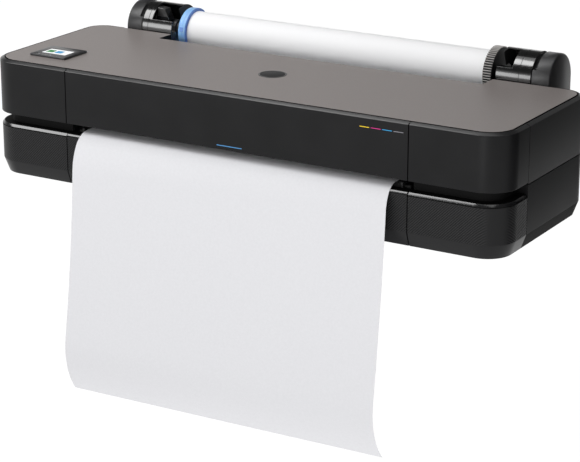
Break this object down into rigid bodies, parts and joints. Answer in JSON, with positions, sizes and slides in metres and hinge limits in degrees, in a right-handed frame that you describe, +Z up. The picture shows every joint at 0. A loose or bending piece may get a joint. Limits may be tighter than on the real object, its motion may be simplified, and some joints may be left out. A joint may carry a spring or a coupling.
{
  "type": "large format plotter",
  "caption": "Wide bench-top roll plotter: low dark casing with a grey top plate, a rear paper roll between two supports, and a printed sheet hanging in front.",
  "frame": {"origin": "on the bench, at the middle of the stand pad under the base pan", "axes": "+Z up, +X to the right seen from the front, -Y towards the user"},
  "size_m": [1.013, 0.4851, 0.628],
  "materials": {
    "casing_plastic": "moulded, fine texture",
    "gloss_plastic": "polished moulding",
    "inner_plastic": "moulded",
    "top_plate_paint": "satin paint, warm grey",
    "sheet_steel": "zinc-plated sheet",
    "motor_steel": "plated can",
    "rail_steel": "ground and polished",
    "rubber": "matt",
    "nylon": "natural nylon",
    "brass": "machined",
    "encoder_film": "clear film",
    "screen_glass": "cover lens",
    "status_light": "lit light guide",
    "circuit_board": "solder mask",
    "core_card": "wound card tube",
    "paper": "uncoated white paper",
    "flange_blue": "tinted moulding",
    "ink_yellow": "moulded",
    "ink_magenta": "moulded",
    "ink_cyan": "moulded",
    "ink_black": "moulded"
  },
  "bodies": {
    "casing": {"base_pan": "sheet_steel", "carriage_beam": "sheet_steel", "carriage_belt": "rubber", "carriage_motor": "motor_steel", "carriage_rail": "rail_steel", "chassis_end_left": "sheet_steel", "chassis_end_right": "sheet_steel", "data_ports": "sheet_steel", "display_bezel": "inner_plastic", "display_screen": "screen_glass", "encoder_strip": "encoder_film", "feed_motor": "motor_steel", "foot_left": "rubber", "foot_right": "rubber", "ink_bay": "inner_plastic", "lower_corner_cover_left": "casing_plastic", "lower_corner_cover_right": "casing_plastic", "lower_front_cover": "casing_plastic", "lower_side_cover_left": "casing_plastic", "lower_side_cover_right": "casing_plastic", "main_board": "circuit_board", "paper_sheet": "paper", "platen": "inner_plastic", "pod_cap_left": "casing_plastic", "pod_cap_right": "casing_plastic", "pod_housing_left": "gloss_plastic", "pod_housing_right": "gloss_plastic", "power_inlet": "inner_plastic", "power_supply": "motor_steel", "rear_cover": "casing_plastic", "roll_tray": "casing_plastic", "service_tray": "inner_plastic", "top_plate": "top_plate_paint", "upper_corner_cover_left": "casing_plastic", "upper_corner_cover_right": "casing_plastic", "upper_side_cover_left": "casing_plastic", "upper_side_cover_right": "casing_plastic"},
    "door": {"front_door": "casing_plastic", "status_light": "status_light"},
    "carriage": {"carriage": "inner_plastic", "printhead": "sheet_steel"},
    "drive_pulley": {"drive_pulley": "nylon"},
    "idler_pulley": {"idler_pulley": "nylon"},
    "feed_roller": {"feed_roller": "rubber", "feed_gear": "nylon"},
    "feed_pinion": {"feed_pinion": "brass"},
    "pinch_roller": {"pinch_roller": "rubber"},
    "exit_roller": {"exit_roller": "rubber"},
    "roll": {"spindle": "inner_plastic", "roll_core": "core_card", "paper_roll": "paper", "roll_flange_right": "inner_plastic"},
    "left_flange": {"roll_flange_left": "flange_blue"},
    "roll_pinion": {"roll_drive_pinion": "nylon"},
    "cap": {"cap_seal": "rubber"},
    "power_button": {"power_button": "gloss_plastic"},
    "cartridge_yellow": {"ink_cartridge_yellow": "ink_yellow"},
    "cartridge_magenta": {"ink_cartridge_magenta": "ink_magenta"},
    "cartridge_cyan": {"ink_cartridge_cyan": "ink_cyan"},
    "cartridge_black": {"ink_cartridge_black": "ink_black"}
  },
  "joints": [
    {"name": "door_hinge", "type": "hinge", "parent": "casing", "child": "door", "pos_m": [0, -0.1584, 0.2112], "axis": [-1, 0, 0], "range_deg": [0, 85]},
    {"name": "carriage_slide", "type": "slide", "parent": "casing", "child": "carriage", "axis": [-1, 0, 0], "range_m": [0, 0.74]},
    {"name": "drive_pulley_spin", "type": "hinge", "parent": "casing", "child": "drive_pulley", "pos_m": [0.455, -0.012, 0.1785], "axis": [0, 1, 0], "continuous": true},
    {"name": "idler_pulley_spin", "type": "hinge", "parent": "casing", "child": "idler_pulley", "pos_m": [-0.455, -0.012, 0.1785], "axis": [0, 1, 0], "continuous": true},
    {"name": "feed_roller_spin", "type": "hinge", "parent": "casing", "child": "feed_roller", "pos_m": [0, -0.015, 0.09455], "axis": [1, 0, 0], "continuous": true},
    {"name": "feed_pinion_spin", "type": "hinge", "parent": "casing", "child": "feed_pinion", "pos_m": [0.45, -0.00195, 0.07195], "axis": [1, 0, 0], "continuous": true},
    {"name": "pinch_roller_spin", "type": "hinge", "parent": "casing", "child": "pinch_roller", "pos_m": [0, -0.015, 0.10945], "axis": [1, 0, 0], "continuous": true},
    {"name": "exit_roller_spin", "type": "hinge", "parent": "casing", "child": "exit_roller", "pos_m": [0, -0.135, 0.09705], "axis": [1, 0, 0], "continuous": true},
    {"name": "roll_spin", "type": "hinge", "parent": "casing", "child": "roll", "pos_m": [0, 0.205, 0.2134], "axis": [-1, 0, 0], "continuous": true},
    {"name": "left_flange_slide", "type": "slide", "parent": "roll", "child": "left_flange", "axis": [-1, 0, 0], "range_m": [0, 0.007]},
    {"name": "roll_pinion_spin", "type": "hinge", "parent": "casing", "child": "roll_pinion", "pos_m": [0.3152, 0.205, 0.156], "axis": [-1, 0, 0], "continuous": true},
    {"name": "cap_drop", "type": "slide", "parent": "casing", "child": "cap", "axis": [0, 0, -1], "range_m": [0, 0.004], "stiffness_N_per_m": 400, "springref_m": -0.005},
    {"name": "cartridge_yellow_eject", "type": "slide", "parent": "casing", "child": "cartridge_yellow", "axis": [0, -1, 0], "range_m": [0, 0.009]},
    {"name": "cartridge_magenta_eject", "type": "slide", "parent": "casing", "child": "cartridge_magenta", "axis": [0, -1, 0], "range_m": [0, 0.009]},
    {"name": "cartridge_cyan_eject", "type": "slide", "parent": "casing", "child": "cartridge_cyan", "axis": [0, -1, 0], "range_m": [0, 0.009]},
    {"name": "cartridge_black_eject", "type": "slide", "parent": "casing", "child": "cartridge_black", "axis": [0, -1, 0], "range_m": [0, 0.009]},
    {"name": "power_button_press", "type": "slide", "parent": "casing", "child": "power_button", "axis": [0, 0, -1], "range_m": [0, 0.0008], "stiffness_N_per_m": 400, "springref_m": -0.0008}
  ],
  "couplings": [
    {"joint": "drive_pulley_spin", "follows": "carriage_slide", "rad_per_m": 119.05},
    {"joint": "idler_pulley_spin", "follows": "carriage_slide", "rad_per_m": 119.05},
    {"joint": "feed_pinion_spin", "follows": "feed_roller_spin", "ratio": -3.3333},
    {"joint": "pinch_roller_spin", "follows": "feed_roller_spin", "ratio": -2.5},
    {"joint": "exit_roller_spin", "follows": "feed_roller_spin", "ratio": 1.3333},
    {"joint": "roll_pinion_spin", "follows": "roll_spin", "ratio": -3.4444}
  ]
}
